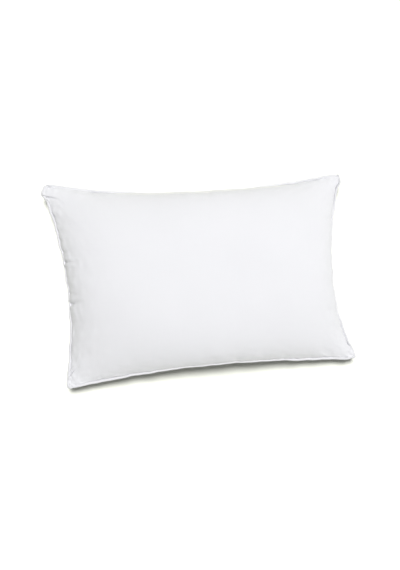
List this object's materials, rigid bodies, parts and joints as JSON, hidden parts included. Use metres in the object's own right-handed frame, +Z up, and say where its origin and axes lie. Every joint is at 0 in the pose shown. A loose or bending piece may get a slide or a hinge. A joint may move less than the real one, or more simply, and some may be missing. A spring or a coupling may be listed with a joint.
{
  "type": "bed pillow",
  "caption": "Rectangular bed pillow with a crowned, stuffed ticking, a corded edge, drawn-in sides and flat corner ears, lying on its back panel.",
  "frame": {"origin": "on the surface that the pillow rests on, under the middle of the pillow", "axes": "+Z up through the crown, +X along the length, +Y across the width towards the side with the label; the closing seam is on the -Y side"},
  "size_m": [0.7272, 0.4736, 0.156],
  "materials": {
    "ticking": "close plain-woven white cotton blend with a faint sheen",
    "piping": "the same cloth cut on the bias and drawn over a cord",
    "cord": "soft twisted cotton cord",
    "thread": "white spun polyester sewing thread",
    "batt": "carded polyester web",
    "fibre": "loose hollow polyester fibre",
    "tape": "blank white satin tape"
  },
  "bodies": {
    "root": {"front_panel": "ticking", "back_panel": "ticking", "piping_cover": "piping", "piping_cord": "cord", "seam_needle_thread": "thread", "seam_bobbin_thread": "thread", "closing_needle_thread": "thread", "closing_bobbin_thread": "thread", "fibre_wrap": "batt", "fibre_fill": "fibre", "care_label": "tape"}
  },
  "joints": []
}
